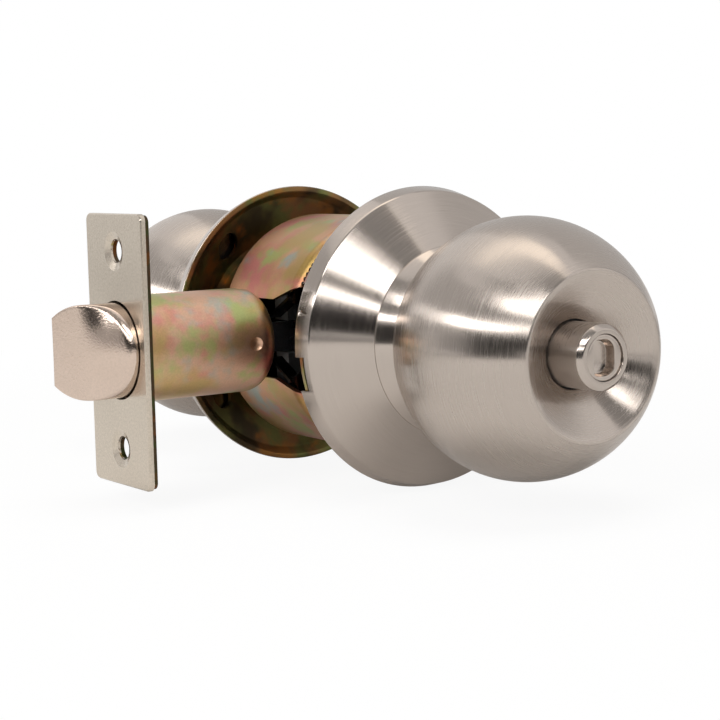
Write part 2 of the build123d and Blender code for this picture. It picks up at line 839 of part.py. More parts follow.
# Key cylinder: a barrel with a pin tower, and a plug with a keyway
pin_roof = tower_top - pin_cap
barrel = sleeve(outside, barrel_r, 0, barrel_start, barrel_face)
barrel += block((-tower_half, tower_start, 0), (tower_half, tower_end, tower_top))
barrel -= sleeve(outside, plug_r + running, 0, barrel_start - past, barrel_face + past)
plug = sleeve(outside, plug_r, 0, barrel_start - plug_rear, barrel_face + plug_proud)
tier_base = -keyway_base
for height, step in keyway_tiers:
    plug -= block(
        (step - keyway_width / 2, barrel_start + plug_rear, tier_base),
        (step + keyway_width / 2, barrel_face + plug_proud + past, tier_base + height),
    )
    tier_base += height
key_pins = []
driver_pins = []
pin_springs = []
pin_top = sqrt(plug_r**2 - pin_r**2) - running
driver_base = plug_r + running + shear_gap
spring_length = pin_roof - driver_base - driver_length - 2 * seated
for along, lift in zip(pin_places, pin_lift):
    barrel -= Pos(0, along, pin_roof / 2) * Cylinder(pin_hole, pin_roof)
    plug -= Pos(0, along, plug_r / 2) * Cylinder(pin_hole, plug_r + 2 * pin_r)
    key_pins.append(Pos(0, along, (pin_top + lift) / 2) * Cylinder(pin_r, pin_top - lift))
    driver_pins.append(Pos(0, along, driver_base + driver_length / 2) * Cylinder(pin_r, driver_length))
    spring = coil(pin_r - pin_wire / 2, pin_wire, spring_length, pin_turns)
    pin_springs.append(Pos(0, along, driver_base + driver_length + seated) * spring)
save("cylinder_barrel", barrel)
save("key_plug", plug)
save("key_pins", Compound(children=key_pins))
save("driver_pins", Compound(children=driver_pins))
save("pin_springs", Compound(children=pin_springs))

# Plug clip and tailpiece behind the cylinder
clip_start = barrel_start - plug_rear + seated
clip = sleeve(outside, clip_r, plug_r + seated, clip_start, clip_start + clip_thick)
clip -= block(
    (-clip_mouth / 2, clip_start - past, -clip_r - past),
    (clip_mouth / 2, clip_start + clip_thick + past, 0),
)
save("plug_clip", clip)
tailpiece = block(
    (-bar_thick / 2, bar_end, -bar_width / 2),
    (bar_thick / 2, barrel_start - plug_rear, bar_width / 2),
)
save("tailpiece", tailpiece)
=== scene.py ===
import bpy
import bmesh
import json
import math
from mathutils import Matrix, Vector


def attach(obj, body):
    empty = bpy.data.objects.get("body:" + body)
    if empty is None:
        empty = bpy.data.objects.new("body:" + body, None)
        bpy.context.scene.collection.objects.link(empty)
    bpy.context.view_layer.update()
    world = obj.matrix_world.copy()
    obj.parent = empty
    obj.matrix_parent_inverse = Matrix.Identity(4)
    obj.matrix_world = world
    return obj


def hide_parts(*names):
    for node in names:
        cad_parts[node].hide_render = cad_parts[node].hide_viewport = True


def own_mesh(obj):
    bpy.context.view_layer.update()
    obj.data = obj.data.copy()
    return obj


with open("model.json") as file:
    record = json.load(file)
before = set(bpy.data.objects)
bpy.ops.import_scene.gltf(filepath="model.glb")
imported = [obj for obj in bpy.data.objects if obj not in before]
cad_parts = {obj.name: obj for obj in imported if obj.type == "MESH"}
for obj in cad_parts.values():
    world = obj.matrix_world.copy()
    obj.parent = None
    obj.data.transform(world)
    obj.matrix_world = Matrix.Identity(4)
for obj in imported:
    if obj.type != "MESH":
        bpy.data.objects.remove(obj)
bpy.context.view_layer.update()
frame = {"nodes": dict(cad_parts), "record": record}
nodes = frame["nodes"]
scene = bpy.context.scene
mm = 0.001
smoothUpTo = 32  # degrees; a sharper bend between faces shows as an edge
print("frame loaded:", len(nodes), "nodes")


# shared helpers

def toLinear(code):
    parts = [int(code[i:i + 2], 16) / 255 for i in (1, 3, 5)]
    return [c / 12.92 if c <= 0.04045 else ((c + 0.055) / 1.055) ** 2.4 for c in parts] + [1.0]


def addNode(tree, kind, settings=None, links=None):
    node = tree.nodes.new(kind)
    for key, value in (settings or {}).items():
        setattr(node, key, value)
    for key, value in (links or {}).items():
        if isinstance(value, bpy.types.NodeSocket):
            tree.links.new(value, node.inputs[key])
        else:
            node.inputs[key].default_value = value
    return node


def newMaterial(name):
    made = bpy.data.materials.new(name)
    made.use_nodes = True
    made.node_tree.nodes.clear()
    return made, made.node_tree


def softOutline(corners, steps=5):
    # closed outline; a corner (a, b, radius) is rounded off, a corner (a, b) stays as it is
    made = []
    count = len(corners)
    for i, corner in enumerate(corners):
        here = Vector(corner[:2])
        radius = corner[2] if len(corner) > 2 else 0
        before = Vector(corners[i - 1][:2]) - here
        after = Vector(corners[(i + 1) % count][:2]) - here
        if radius <= 0:
            made.append(tuple(here))
            continue
        before.normalize()
        after.normalize()
        half = before.angle(after) / 2
        reach = radius / math.tan(half)
        middle = here + (before + after).normalized() * radius / math.sin(half)
        first = here + before * reach - middle
        last = here + after * reach - middle
        sweep = first.angle_signed(last)
        for step in range(steps + 1):
            turn = Matrix.Rotation(-sweep * step / steps, 2)
            made.append(tuple(middle + turn @ first))
    return made


def arcPoints(centre, radius, start, end, steps):
    # points on a circle in the (radius, along) plane, angles in degrees from the knob axis
    made = []
    for step in range(steps + 1):
        angle = math.radians(start + (end - start) * step / steps)
        made.append((radius * math.sin(angle), centre + radius * math.cos(angle)))
    return made


def buildMesh(name, points, faces, sharpAngle=smoothUpTo):
    mesh = bpy.data.meshes.new(name)
    mesh.from_pydata([Vector(p) * mm for p in points], [], faces)
    form = bmesh.new()
    form.from_mesh(mesh)
    bmesh.ops.remove_doubles(form, verts=form.verts, dist=1e-7)
    bmesh.ops.recalc_face_normals(form, faces=form.faces)
    form.to_mesh(mesh)
    form.free()
    mesh.shade_smooth()
    mesh.set_sharp_from_angle(angle=math.radians(sharpAngle))
    made = bpy.data.objects.new(name, mesh)
    scene.collection.objects.link(made)
    return made


def turnOutline(name, side, outline, segments=160, sharpAngle=smoothUpTo):
    # closed (radius, along) outline turned about the knob axis
    points = []
    for step in range(segments):
        angle = 2 * math.pi * step / segments
        for radius, along in outline:
            points.append((radius * math.cos(angle), side * along, radius * math.sin(angle)))
    count = len(outline)
    faces = []
    for step in range(segments):
        a = step * count
        b = (step + 1) % segments * count
        for i in range(count):
            j = (i + 1) % count
            faces.append((a + i, a + j, b + j, b + i))
    return buildMesh(name, points, faces, sharpAngle)


def blockMesh(name, low, high):
    xs, ys, zs = zip(low, high)
    points = [(x, y, z) for x in xs for y in ys for z in zs]
    faces = [(0, 1, 3, 2), (4, 6, 7, 5), (0, 4, 5, 1), (2, 3, 7, 6), (0, 2, 6, 4), (1, 5, 7, 3)]
    return buildMesh(name, points, faces)


def ballMesh(name, radius, rows=12, columns=24):
    points = []
    for row in range(rows + 1):
        tilt = math.pi * row / rows
        for column in range(columns):
            turn = 2 * math.pi * column / columns
            spread = radius * math.sin(tilt)
            points.append((spread * math.cos(turn), spread * math.sin(turn), radius * math.cos(tilt)))
    return buildMesh(name, points, gridFaces(rows + 1, columns, True))


def gridFaces(rows, columns, closed):
    # quads over a grid of points stored row by row
    made = []
    for row in range(rows - 1):
        for column in range(columns if closed else columns - 1):
            a = row * columns + column
            b = row * columns + (column + 1) % columns
            made.append((a, b, b + columns, a + columns))
    return made


def cutAway(piece, cutter):
    # boolean cut, then the cutter goes
    cut = piece.modifiers.new("cut", "BOOLEAN")
    cut.object = cutter
    cut.solver = "EXACT"
    shaped = bpy.data.meshes.new_from_object(piece.evaluated_get(bpy.context.evaluated_depsgraph_get()))
    piece.modifiers.clear()
    piece.data = shaped
    piece.data.shade_smooth()
    piece.data.set_sharp_from_angle(angle=math.radians(smoothUpTo))
    bpy.data.objects.remove(cutter)


def fitPiece(piece, material, body, slotName, *stoodFor):
    piece.data.materials.clear()
    piece.data.materials.append(material)
    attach(piece, body)
    if stoodFor:
        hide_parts(*stoodFor)


# sizes that the pieces share with the solids, in mm
lock = {
    "insideFace": 25.7, "outsideFace": 23.6,
    "knobR": 26.6, "knobWall": 1.2, "neckR": 16.5, "neckEntry": 1.0,
    "insideCentre": 61.0, "outsideCentre": 66.4,
    "dishR": 16.3, "dishBottomR": 7.7, "dishDepth": 6.0, "boreCollar": 3.4, "barrelBore": 9.7,
    "roseR": 32.5, "roseFrontR": 31.5, "roseRim": 3.85, "roseRise": 7.3, "roseWall": 0.8, "roseHole": 16.8,
    "ringR": 20.2, "ringStep": 0.3, "ringTopR": 17.8, "ringSlope": 1.25,
    "buttonR": 6.5, "buttonEnd": 84.6, "turnR": 4.5,
}
inside, outside = -1, 1
roseSlope = lock["roseRise"] / (lock["roseFrontR"] - lock["ringR"])
ringRise = lock["ringStep"] + roseSlope * (lock["ringR"] - lock["roseHole"])
roseTop = lock["roseRim"] + lock["roseRise"] + ringRise


# materials

# satin stainless, spun and then brushed round its axis: fine rings, highlights drawn out across them
# real brush marks lie about 0.05 mm apart; they are drawn at 0.16 mm so that they show
satinSteel = {"colour": "#bfb4ab", "deep": "#b0a59c", "ringSpacing": 0.16, "ringLength": 9.0,
              "ringTurnR": 25.0, "ringDepth": 0.002, "roughness": 0.245, "spread": 0.06, "anisotropy": 0.9,
              "stray": 0.11, "cloudSize": 14.0, "wear": 0.025}


def makeSatinSteel(name, look):
    made, tree = newMaterial(name)
    place = addNode(tree, "ShaderNodeTexCoord")
    parts = addNode(tree, "ShaderNodeSeparateXYZ", links={0: place.outputs["Object"]})
    flat = addNode(tree, "ShaderNodeCombineXYZ", links={"X": parts.outputs["X"], "Z": parts.outputs["Z"]})
    reach = addNode(tree, "ShaderNodeVectorMath", {"operation": "LENGTH"}, {0: flat.outputs[0]})
    angle = addNode(tree, "ShaderNodeMath", {"operation": "ARCTAN2"},
                    {0: parts.outputs["Z"], 1: parts.outputs["X"]})
    # the way round a ring, squeezed so that a scratch is as long as ringLength
    squeeze = look["ringTurnR"] * mm * look["ringSpacing"] / look["ringLength"]
    bend = addNode(tree, "ShaderNodeMath", {"operation": "MULTIPLY"}, {0: angle.outputs[0], 1: squeeze})
    rings = addNode(tree, "ShaderNodeCombineXYZ",
                    links={"X": reach.outputs["Value"], "Y": parts.outputs["Y"], "Z": bend.outputs[0]})
    scratch = addNode(tree, "ShaderNodeTexNoise", {"noise_dimensions": "3D"},
                      {"Vector": rings.outputs[0], "Scale": 1 / (look["ringSpacing"] * mm), "Detail": 3.0,
                       "Roughness": 0.6})
    cloud = addNode(tree, "ShaderNodeTexNoise", {},
                    {"Vector": place.outputs["Object"], "Scale": 1 / (look["cloudSize"] * mm), "Detail": 2.0})
    tint = addNode(tree, "ShaderNodeMix", {"data_type": "RGBA"},
                   {"Factor": scratch.outputs[0], 6: toLinear(look["deep"]), 7: toLinear(look["colour"])})
    grip = addNode(tree, "ShaderNodeMapRange", {},
                   {"Value": scratch.outputs[0], "From Min": 0.3, "From Max": 0.7,
                    "To Min": look["roughness"] - look["spread"],
                    "To Max": look["roughness"] + look["spread"]})
    wear = addNode(tree, "ShaderNodeMapRange", {},
                   {"Value": cloud.outputs[0], "From Min": 0.3, "From Max": 0.7,
                    "To Min": -look["wear"], "To Max": look["wear"]})
    rough = addNode(tree, "ShaderNodeMath", {"operation": "ADD"}, {0: grip.outputs[0], 1: wear.outputs[0]})
    bump = addNode(tree, "ShaderNodeBump", {},
                   {"Height": scratch.outputs[0], "Distance": look["ringDepth"] * mm, "Strength": 0.6})
    # each scratch strays a little off the ring it follows, so the highlights get ragged edges
    along = addNode(tree, "ShaderNodeTangent", {"direction_type": "RADIAL", "axis": "Y"})
    skin = addNode(tree, "ShaderNodeNewGeometry")
    side = addNode(tree, "ShaderNodeVectorMath", {"operation": "CROSS_PRODUCT"},
                   {0: skin.outputs["Normal"], 1: along.outputs[0]})
    stray = addNode(tree, "ShaderNodeMapRange", {},
                    {"Value": scratch.outputs[0], "From Min": 0.2, "From Max": 0.8,
                     "To Min": -look["stray"], "To Max": look["stray"]})
    drift = addNode(tree, "ShaderNodeVectorMath", {"operation": "SCALE"},
                    {0: side.outputs[0], "Scale": stray.outputs[0]})
    grainWay = addNode(tree, "ShaderNodeVectorMath", {"operation": "ADD"},
                       {0: along.outputs[0], 1: drift.outputs[0]})
    steel = addNode(tree, "ShaderNodeBsdfPrincipled", {},
                    {"Base Color": tint.outputs[2], "Metallic": 1.0, "Roughness": rough.outputs[0],
                     "Anisotropic": look["anisotropy"], "Anisotropic Rotation": 0.25,
                     "Tangent": grainWay.outputs[0], "Normal": bump.outputs[0]})
    addNode(tree, "ShaderNodeOutputMaterial", {}, {"Surface": steel.outputs[0]})
    return made


spunStainless = makeSatinSteel("stainless_spun_satin", satinSteel)
# the roses are brushed finer, so their reflections are crisper
fineSatin = dict(satinSteel, roughness=0.18)
roseStainless = makeSatinSteel("stainless_spun_satin_rose", fineSatin)
# the button's side, straight off the lathe: broad bands of light along it
latheSatin = dict(satinSteel, roughness=0.32, anisotropy=0.93, stray=0.05)
turnedSteel = makeSatinSteel("stainless_turned_satin", latheSatin)
# its rim and the turn piece, polished after turning: small bright glints
lathePolish = dict(satinSteel, roughness=0.17, anisotropy=0.4, ringDepth=0.001, stray=0.03)
polishedSteel = makeSatinSteel("stainless_turned_polished", lathePolish)

# nickel plate over a tumbled stamping: warm grey, reflections broken into fine grain, drawn coarser to show
nickel = {"colour": "#d0c5b6", "deep": "#c4b8a9", "grain": 0.5, "grainDepth": 0.004, "roughness": 0.22,
          "speckle": 0.12}
# the same plate on the cast bolt: pinker and smoother, with a hammered skin
castNickel = dict(nickel, colour="#d6c3b5", deep="#cbb7a8", grain=0.45, grainDepth=0.035, roughness=0.15,
                  speckle=0.06)


def makeGrainMetal(name, look, speckle=0.1, cloudGrains=26, spread=0.05):
    # a cloud is cloudGrains wide; spread is how far the roughness strays
    made, tree = newMaterial(name)
    place = addNode(tree, "ShaderNodeTexCoord")
    grain = addNode(tree, "ShaderNodeTexNoise", {},
                    {"Vector": place.outputs["Object"], "Scale": 1 / (look["grain"] * mm), "Detail": 3.0,
                     "Roughness": 0.65})
    cloud = addNode(tree, "ShaderNodeTexNoise", {},
                    {"Vector": place.outputs["Object"], "Scale": 1 / (look["grain"] * cloudGrains * mm),
                     "Detail": 3.0})
    patch = addNode(tree, "ShaderNodeMix", {"data_type": "RGBA"},
                    {"Factor": cloud.outputs[0], 6: toLinear(look["deep"]), 7: toLinear(look["colour"])})
    speckle = look.get("speckle", speckle)
    shade = addNode(tree, "ShaderNodeMapRange", {},
                    {"Value": grain.outputs[0], "From Min": 0.3, "From Max": 0.7, "To Min": 1 - speckle,
                     "To Max": 1 + speckle})
    tint = addNode(tree, "ShaderNodeMix", {"data_type": "RGBA", "blend_type": "MULTIPLY"},
                   {"Factor": 1.0, 6: patch.outputs[2], 7: shade.outputs[0]})
    rough = addNode(tree, "ShaderNodeMapRange", {},
                    {"Value": cloud.outputs[0], "From Min": 0.3, "From Max": 0.7,
                     "To Min": look["roughness"] - spread, "To Max": look["roughness"] + spread})
    bump = addNode(tree, "ShaderNodeBump", {},
                   {"Height": grain.outputs[0], "Distance": look["grainDepth"] * mm, "Strength": 0.8})
    metal = addNode(tree, "ShaderNodeBsdfPrincipled", {},
                    {"Base Color": tint.outputs[2], "Metallic": 1.0, "Roughness": rough.outputs[0],
                     "Normal": bump.outputs[0]})
    addNode(tree, "ShaderNodeOutputMaterial", {}, {"Surface": metal.outputs[0]})
    return made


nickelPlate = makeGrainMetal("nickel_plate_on_stamped_steel", nickel)
boltNickel = makeGrainMetal("nickel_plate_on_cast_zinc", castNickel)
# bright zinc plate on drawn steel: a cool grey
coolZinc = {"colour": "#b9bcc0", "deep": "#a4a7ab", "grain": 0.4, "grainDepth": 0.008, "roughness": 0.3}
zincPlate = makeGrainMetal("zinc_plate_on_drawn_steel", coolZinc)
# drawn spring wire: darker, with a soft shine along the coil
wire = {"colour": "#9a9896", "deep": "#7d7b79", "grain": 0.25, "grainDepth": 0.004, "roughness": 0.26}
springSteel = makeGrainMetal("spring_steel_drawn_wire", wire)
# die-cast zinc alloy: dull, with a grainy skin
casting = {"colour": "#8f908f", "deep": "#7a7b7b", "grain": 0.5, "grainDepth": 0.03, "roughness": 0.48}
diecastZinc = makeGrainMetal("zinc_alloy_die_cast", casting)
# black oxide on steel: dark brown grey, with an oily sheen
oxide = {"colour": "#4b4641", "deep": "#24211f", "grain": 0.6, "grainDepth": 0.03, "roughness": 0.24}
blackSteel = makeGrainMetal("steel_black_oxide", oxide)
# turned brass: warm yellow, bright
brass = {"colour": "#c9a95e", "deep": "#b8954a", "grain": 0.28, "grainDepth": 0.006, "roughness": 0.26}
turnedBrass = makeGrainMetal("brass_turned", brass)

# yellow chromate on zinc: a thin film, tan with soft patches of pink, green and blue grey
# each patch: colour, size in mm, and the two edges of its cloud in the noise
chromate = {"base": "#bd8d6b", "speckle": 0.4, "roughness": 0.36,
            "patches": [("#bc706a", 10.0, 0.45, 0.62), ("#96a258", 9.0, 0.5, 0.66),
                        ("#8f9a92", 8.0, 0.53, 0.74), ("#a58a4e", 14.0, 0.47, 0.66)]}
# the same film where it is thin, on the latch tube: paler
lightChromate = dict(chromate, base="#d6ae93",
                     patches=[("#d48f84", 10.0, 0.47, 0.66), ("#aeba78", 9.0, 0.5, 0.66),
                              ("#a9b3aa", 8.0, 0.53, 0.74), ("#bfa56a", 14.0, 0.47, 0.66)])
# where it is thick, on the liner of the outside rose: olive and brown from the film, made darker with painted
# shade of the dish's hollow
deepShadedChromate = {"base": "#94704a", "speckle": 0.4, "roughness": 0.4,
                "patches": [("#757c4a", 11.0, 0.44, 0.6), ("#4a4334", 14.0, 0.46, 0.64),
                            ("#a8763f", 8.0, 0.54, 0.7)]}
# on the faceplate's backing: dark brown
darkChromate = dict(deepShadedChromate, base="#4c3f30",
                    patches=[("#3f4a2c", 6.0, 0.46, 0.6), ("#6e4526", 5.0, 0.5, 0.64)])
chromateSkin = {"patchShare": 0.9, "grainDepth": 0.008, "smoother": 0.05, "rougher": 0.07,
                "darkest": 0.88, "lightest": 1.06}


def makeChromate(name, look):
    made, tree = newMaterial(name)
    place = addNode(tree, "ShaderNodeTexCoord")
    hue = addNode(tree, "ShaderNodeRGB")
    hue.outputs[0].default_value = toLinear(look["base"])
    film = hue.outputs[0]
    for i, (colour, size, low, high) in enumerate(look["patches"]):
        # shift in metres, so that each kind of patch takes its cloud from another stretch of noise
        shift = (0.31 * i + 0.07, 0.17 * i, 0.23 * i)
        moved = addNode(tree, "ShaderNodeVectorMath", {"operation": "ADD"},
                        {0: place.outputs["Object"], 1: shift})
        cloud = addNode(tree, "ShaderNodeTexNoise", {},
                        {"Vector": moved.outputs[0], "Scale": 1 / (size * mm), "Detail": 3.0,
                         "Roughness": 0.55})
        share = addNode(tree, "ShaderNodeMapRange", {"interpolation_type": "SMOOTHSTEP"},
                        {"Value": cloud.outputs[0], "From Min": low, "From Max": high,
                         "To Max": chromateSkin["patchShare"]})
        mixed = addNode(tree, "ShaderNodeMix", {"data_type": "RGBA"},
                        {"Factor": share.outputs[0], 6: film, 7: toLinear(colour)})
        film = mixed.outputs[2]
    speck = addNode(tree, "ShaderNodeTexNoise", {},
                    {"Vector": place.outputs["Object"], "Scale": 1 / (look["speckle"] * mm), "Detail": 3.0,
                     "Roughness": 0.6})
    shade = addNode(tree, "ShaderNodeMapRange", {},
                    {"Value": speck.outputs[0], "From Min": 0.3, "From Max": 0.7,
                     "To Min": chromateSkin["darkest"], "To Max": chromateSkin["lightest"]})
    tint = addNode(tree, "ShaderNodeMix", {"data_type": "RGBA", "blend_type": "MULTIPLY"},
                   {"Factor": 1.0, 6: film, 7: shade.outputs[0]})
    rough = addNode(tree, "ShaderNodeMapRange", {},
                    {"Value": speck.outputs[0], "From Min": 0.3, "From Max": 0.7,
                     "To Min": look["roughness"] - chromateSkin["smoother"],
                     "To Max": look["roughness"] + chromateSkin["rougher"]})
    bump = addNode(tree, "ShaderNodeBump", {},
                   {"Height": speck.outputs[0], "Distance": chromateSkin["grainDepth"] * mm, "Strength": 0.7})
    metal = addNode(tree, "ShaderNodeBsdfPrincipled", {},
                    {"Base Color": tint.outputs[2], "Metallic": 1.0, "Roughness": rough.outputs[0],
                     "Normal": bump.outputs[0]})
    addNode(tree, "ShaderNodeOutputMaterial", {}, {"Surface": metal.outputs[0]})
    return made


yellowChromate = makeChromate("zinc_yellow_chromate", chromate)
thinChromate = makeChromate("zinc_yellow_chromate_thin", lightChromate)
# the liner's thick film, darkened with painted shade
thickShadedChromate = makeChromate("zinc_yellow_chromate_thick_shaded", deepShadedChromate)
darkenedChromate = makeChromate("zinc_yellow_chromate_darkened", darkChromate)

# black nylon, injection moulded: dull, with a faint mould grain
nylon = {"colour": "#17171a", "grain": 0.6, "grainDepth": 0.02, "smoothest": 0.42, "roughest": 0.62,
         "ior": 1.53}
blackNylon, nylonTree = newMaterial("nylon_moulded_black")
nylonPlace = addNode(nylonTree, "ShaderNodeTexCoord")
nylonGrain = addNode(nylonTree, "ShaderNodeTexNoise", {},
                     {"Vector": nylonPlace.outputs["Object"], "Scale": 1 / (nylon["grain"] * mm),
                      "Detail": 3.0})
nylonRough = addNode(nylonTree, "ShaderNodeMapRange", {},
                     {"Value": nylonGrain.outputs[0], "To Min": nylon["smoothest"],
                      "To Max": nylon["roughest"]})
nylonBump = addNode(nylonTree, "ShaderNodeBump", {},
                    {"Height": nylonGrain.outputs[0], "Distance": nylon["grainDepth"] * mm})
nylonShade = addNode(nylonTree, "ShaderNodeBsdfPrincipled", {},
                     {"Base Color": toLinear(nylon["colour"]), "Roughness": nylonRough.outputs[0],
                      "IOR": nylon["ior"], "Normal": nylonBump.outputs[0]})
addNode(nylonTree, "ShaderNodeOutputMaterial", {}, {"Surface": nylonShade.outputs[0]})
print("materials made")

slotLook = {"satin_stainless": spunStainless, "nickel_plate": nickelPlate, "yellow_chromate": yellowChromate,
            "black_steel": blackSteel, "zinc_casting": diecastZinc, "zinc_plated_steel": zincPlate,
            "spring_steel": springSteel, "cylinder_brass": turnedBrass, "black_nylon": blackNylon}
for part in frame["record"]["subparts"]:
    solid = nodes[part["node"]]
    solid.data.materials.clear()
    solid.data.materials.append(slotLook[part["material_slot"]])
wornEdges = {"nodes": ("retractor", "retractor_cage", "latch_tail", "latch_guide"), "width": 0.3, "angle": 40}
for name in wornEdges["nodes"]:  # worn edges catch the light
    soft = nodes[name].modifiers.new("soft_edges", "BEVEL")
    soft.width, soft.segments = wornEdges["width"] * mm, 2
    soft.limit_method, soft.angle_limit = "ANGLE", math.radians(wornEdges["angle"])
for name, look in (("latch_tube", thinChromate), ("faceplate_backing", darkenedChromate)):
    nodes[name].data.materials.clear()
    nodes[name].data.materials.append(look)


# knobs: spun balls with a short neck and a dished end
knobEdge = {"neckRound": 0.3, "lip": 0.45, "lipDrop": 0.25, "lipRound": 0.7, "lipTurn": 2.0, "shoulder": 1.1,
            "shoulderDrop": 0.95, "dishSag": 0.3, "boreRound": 0.25, "boreLip": 1.0, "boreGap": 0.01,
            "boreInner": 1.8, "hollowTurn": 6.0, "buttonGap": 0.4}
releaseHole = {"radius": 1.7, "along": 7.0, "sides": 24, "low": -30.0, "high": -10.0}


def knobOutline(centre, face, boreR, lipR):
    ballR, wall = lock["knobR"], lock["knobWall"]
    start = face + roseTop - lock["neckEntry"]
    edge = centre + math.sqrt(ballR ** 2 - lock["dishR"] ** 2)
    slope = lock["dishDepth"] / (lock["dishR"] - lock["dishBottomR"])
    floor = edge - slope * (lock["dishR"] - lipR)
    neckAngle = 180 - math.degrees(math.asin(lock["neckR"] / ballR))
    dishAngle = math.degrees(math.asin(lock["dishR"] / ballR))
    innerR = ballR - wall
    innerNeck = 180 - math.degrees(math.asin((lock["neckR"] - wall) / innerR))
    ball = arcPoints(centre, ballR, neckAngle, dishAngle + knobEdge["lipTurn"], 44)
    hollow = arcPoints(centre, innerR, dishAngle + knobEdge["hollowTurn"], innerNeck, 20)
    lipOut = (lock["dishR"] + knobEdge["lip"], edge - knobEdge["lipDrop"], knobEdge["lipRound"])
    dish = [(lock["dishR"] - knobEdge["shoulder"], edge - knobEdge["shoulderDrop"]),
            ((lock["dishR"] + lipR) / 2, (edge + floor) / 2 - knobEdge["dishSag"])]
    lipEnd, collarEnd = floor - knobEdge["boreLip"], floor - lock["boreCollar"]
    openR = boreR + knobEdge["boreGap"]
    bore = [(lipR, floor, knobEdge["boreRound"]), (lipR, lipEnd), (openR, lipEnd), (openR, collarEnd),
            (boreR + wall, collarEnd), (boreR + wall, floor - knobEdge["boreInner"])]
    neckOut = (lock["neckR"], start, knobEdge["neckRound"])
    neckIn = (lock["neckR"] - wall, start, knobEdge["neckRound"])
    return softOutline([neckOut] + ball + [lipOut] + dish + bore + hollow + [neckIn])


def drillHole(knob, side, face):
    # release hole for the knob catch, under the neck
    along = face + roseTop - lock["neckEntry"] + releaseHole["along"]
    radius, count = releaseHole["radius"], releaseHole["sides"]
    turns = [2 * math.pi * i / count for i in range(count)]
    points = [(radius * math.cos(turn), side * along + radius * math.sin(turn), z)
              for z in (releaseHole["low"], releaseHole["high"]) for turn in turns]
    faces = [tuple(range(count)), tuple(range(count, 2 * count))]
    faces += [(i, (i + 1) % count, count + (i + 1) % count, count + i) for i in range(count)]
    cutAway(knob, buildMesh("drill", points, faces))


insideBall = knobOutline(lock["insideCentre"], lock["insideFace"], lock["dishBottomR"],
                         lock["buttonR"] + knobEdge["buttonGap"])
insideKnob = turnOutline("knob_inside", inside, insideBall)
drillHole(insideKnob, inside, lock["insideFace"])
fitPiece(insideKnob, spunStainless, "inside_knob_body", "satin_stainless", "inside_knob")
outsideBall = knobOutline(lock["outsideCentre"], lock["outsideFace"], lock["barrelBore"], lock["barrelBore"])
outsideKnob = turnOutline("knob_outside", outside, outsideBall)
drillHole(outsideKnob, outside, lock["outsideFace"])
fitPiece(outsideKnob, spunStainless, "outside_knob_body", "satin_stainless", "outside_knob")
print("knobs turned")


# roses: spun covers with a short rim, a conical face and a raised ring round the neck
notch = {"angle": -9.5, "floor": 29.5, "width": 7.2, "depth": 2.4, "outer": 34.0, "past": 1.0}
punch = {"ballR": 1.1, "off": 0.72, "places": ((13.5, 26.9), (-27.8, 27.7))}  # angle round the rim, along
# liner of the outside rose: a pressed dish with a nut, its edge turned out under the rim of the rose
liner = {"rimR": 30.55, "rimTop": 2.75, "nutTop": 9.75, "wall": 1.0, "nut": 6.0, "nutR": 18.0, "boreR": 15.05,
         "edgeR": 32.3, "edge": 0.28, "mouthR": 31.2, "flareR": 31.55, "flare": 0.3, "bendR": 29.7,
         "bend": 2.1, "roseLift": 0.32, "holeR": 3.2, "holePlace": 24.6, "holeTurns": (40, 130, 220, 310),
         "drillPast": 1.0}


def roseOutline(face, lift=0.0):
    rimTop = face + lock["roseRim"]
    stepFoot = rimTop + lock["roseRise"]
    stepTop = stepFoot + lock["ringStep"]
    ringTop = stepTop + lock["ringSlope"] * (lock["ringR"] - lock["ringTopR"])
    wall = lock["roseWall"]
    skin = wall * math.sqrt(1 + roseSlope ** 2)
    return softOutline([
        (lock["roseR"] - wall, face + lift, 0.2), (lock["roseR"], face + lift, 0.25),
        (lock["roseFrontR"], rimTop, 0.8), (lock["ringR"], stepFoot, 0.06), (lock["ringR"], stepTop, 0.14),
        (lock["ringTopR"], ringTop, 0.3), (lock["roseHole"], ringTop, 0.2),
        (lock["roseHole"], face + roseTop - skin, 0.2),
        (lock["roseFrontR"] - wall, rimTop - skin + wall * roseSlope)])


def makeLiner(name, face):
    wall, nutTop = liner["wall"], face + liner["nutTop"]
    wallAlong = wall * math.sqrt(1 + roseSlope ** 2)
    flatR = liner["rimR"] - (liner["nutTop"] - liner["rimTop"]) / roseSlope
    underR = flatR + (wall - wallAlong) / roseSlope
    nutFoot = nutTop - liner["nut"]
    made = turnOutline(name, outside, softOutline([
        (liner["mouthR"], face, 0.4), (liner["edgeR"], face, 0.08), (liner["edgeR"], face + liner["edge"]),
        (liner["flareR"], face + liner["flare"]), (liner["rimR"], face + liner["rimTop"]), (flatR, nutTop),
        (liner["boreR"], nutTop), (liner["boreR"], nutFoot), (liner["nutR"], nutFoot, 0.3),
        (liner["nutR"], nutTop - wall), (underR, nutTop - wall),
        (liner["bendR"], face + liner["bend"], 1.5)]))
    low, high = face - liner["drillPast"], nutTop + liner["drillPast"]
    drillOutline = [(0.0, low), (liner["holeR"], low), (liner["holeR"], high), (0.0, high)]
    for angle in liner["holeTurns"]:
        turn = math.radians(angle)
        drill = turnOutline("drill", outside, drillOutline, segments=48)
        spot = Vector((math.cos(turn), 0, math.sin(turn))) * liner["holePlace"]
        drill.data.transform(Matrix.Translation(spot * mm))
        cutAway(made, drill)
    return made


